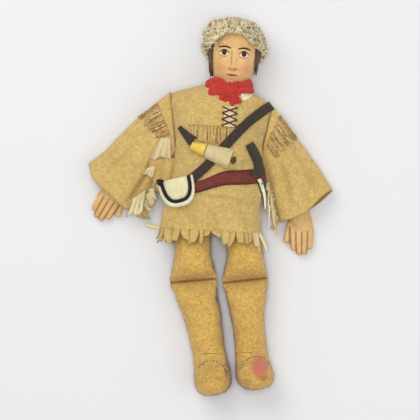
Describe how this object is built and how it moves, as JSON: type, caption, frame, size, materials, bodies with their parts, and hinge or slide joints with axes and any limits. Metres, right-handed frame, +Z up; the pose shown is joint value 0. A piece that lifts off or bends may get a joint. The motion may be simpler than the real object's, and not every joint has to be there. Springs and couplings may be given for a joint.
{
  "type": "cloth doll",
  "caption": "Stuffed cloth doll in fringed tunic, fur cap and neckerchief, with sewn joints at neck, shoulders, hips and knees; lies on its back.",
  "frame": {"origin": "on the flat of the tunic's back, where the doll rests, under the middle of the body", "axes": "+Z up, the way the doll faces as it lies on its back; +Y towards its head; +X to its own left"},
  "size_m": [0.1135, 0.1796, 0.0328],
  "materials": {
    "tan_cloth": "napped cotton cloth",
    "gold_cloth": "napped cotton cloth",
    "cream_cloth": "cotton cloth, unprinted side",
    "muslin": "plain cotton",
    "stuffing": "loose cotton filling",
    "skin_cloth": "printed cotton cloth",
    "pile_cloth": "short curly pile",
    "red_cloth": "cotton cloth",
    "dark_felt": "felt",
    "black_felt": "felt",
    "maroon_felt": "felt",
    "horn_felt": "felt",
    "yellow_felt": "felt",
    "brown_felt": "felt",
    "rose_felt": "worn felt"
  },
  "bodies": {
    "torso": {"torso_cover": "muslin", "torso_stuffing": "stuffing", "tunic_front": "tan_cloth", "tunic_back": "tan_cloth", "tunic_skirt_front": "tan_cloth", "tunic_skirt_back": "tan_cloth", "yoke_fringe": "brown_felt", "placket": "cream_cloth", "neck_lace": "dark_felt", "belt": "maroon_felt", "shoulder_strap": "dark_felt", "horn_strap": "dark_felt", "knife_handle": "dark_felt", "knife_guard": "dark_felt", "knife_sheath": "cream_cloth", "neckerchief_band": "red_cloth", "neckerchief_knot": "red_cloth", "neckerchief_end_right": "red_cloth", "neckerchief_end_left": "red_cloth"},
    "neck": {"neck": "skin_cloth"},
    "head": {"head_cover": "skin_cloth", "head_stuffing": "stuffing", "cap_crown": "pile_cloth", "cap_band": "pile_cloth"},
    "horn": {"horn_tip": "yellow_felt", "horn_body": "horn_felt", "horn_plug": "dark_felt"},
    "pouch": {"pouch_bag": "cream_cloth", "pouch_flap": "cream_cloth", "pouch_piping": "black_felt", "pouch_toggle": "black_felt"},
    "right_arm": {"right_sleeve": "tan_cloth", "right_shoulder_fringe": "brown_felt", "right_sleeve_fringe": "cream_cloth", "right_arm_cover": "skin_cloth", "right_arm_stuffing": "stuffing"},
    "right_thigh": {"right_thigh_cover": "gold_cloth", "right_thigh_stuffing": "stuffing"},
    "right_shin": {"right_shin_cover": "gold_cloth", "right_shin_stuffing": "stuffing", "right_moccasin_vamp": "rose_felt"},
    "left_arm": {"left_sleeve": "tan_cloth", "left_shoulder_fringe": "brown_felt", "left_sleeve_fringe": "cream_cloth", "left_arm_cover": "skin_cloth", "left_arm_stuffing": "stuffing"},
    "left_thigh": {"left_thigh_cover": "gold_cloth", "left_thigh_stuffing": "stuffing"},
    "left_shin": {"left_shin_cover": "gold_cloth", "left_shin_stuffing": "stuffing", "left_moccasin_vamp": "rose_felt"}
  },
  "joints": [
    {"name": "neck_nod", "type": "hinge", "parent": "torso", "child": "neck", "pos_m": [0.0026, 0.034, 0.0135], "axis": [1, 0, 0], "range_deg": [-10, 12]},
    {"name": "head_turn", "type": "hinge", "parent": "neck", "child": "head", "pos_m": [0.003, 0.0385, 0.0146], "axis": [0, 1, 0], "range_deg": [-30, 30]},
    {"name": "right_shoulder", "type": "hinge", "parent": "torso", "child": "right_arm", "pos_m": [-0.02393, 0.019, 0.0133], "axis": [-0.1599, 0.9871, 0], "range_deg": [-20, 60]},
    {"name": "left_shoulder", "type": "hinge", "parent": "torso", "child": "left_arm", "pos_m": [0.02093, 0.019, 0.0133], "axis": [-0.1599, -0.9871, 0], "range_deg": [-20, 60]},
    {"name": "right_hip", "type": "hinge", "parent": "torso", "child": "right_thigh", "pos_m": [-0.0114, -0.028, 0.0097], "axis": [-1, 0, 0], "range_deg": [-25, 75], "deforming": ["tunic_skirt_front", "tunic_skirt_back"]},
    {"name": "left_hip", "type": "hinge", "parent": "torso", "child": "left_thigh", "pos_m": [0.0114, -0.028, 0.0097], "axis": [-1, 0, 0], "range_deg": [-25, 75], "deforming": ["tunic_skirt_front", "tunic_skirt_back"]},
    {"name": "right_knee", "type": "hinge", "parent": "right_thigh", "child": "right_shin", "pos_m": [-0.00985, -0.05495, 0.0093], "axis": [0.9889, 0.1487, 0], "range_deg": [-45, 70]},
    {"name": "left_knee", "type": "hinge", "parent": "left_thigh", "child": "left_shin", "pos_m": [0.01613, -0.05306, 0.0093], "axis": [0.985, 0.1728, 0], "range_deg": [-45, 70]},
    {"name": "horn_lift", "type": "hinge", "parent": "torso", "child": "horn", "pos_m": [-0.0145, 0.008, 0.02519], "axis": [-0.2706, -0.9627, 0], "range_deg": [0, 45]},
    {"name": "pouch_lift", "type": "hinge", "parent": "torso", "child": "pouch", "pos_m": [-0.02, -0.0062, 0.02277], "axis": [-0.922, 0, -0.3872], "range_deg": [0, 30]}
  ]
}
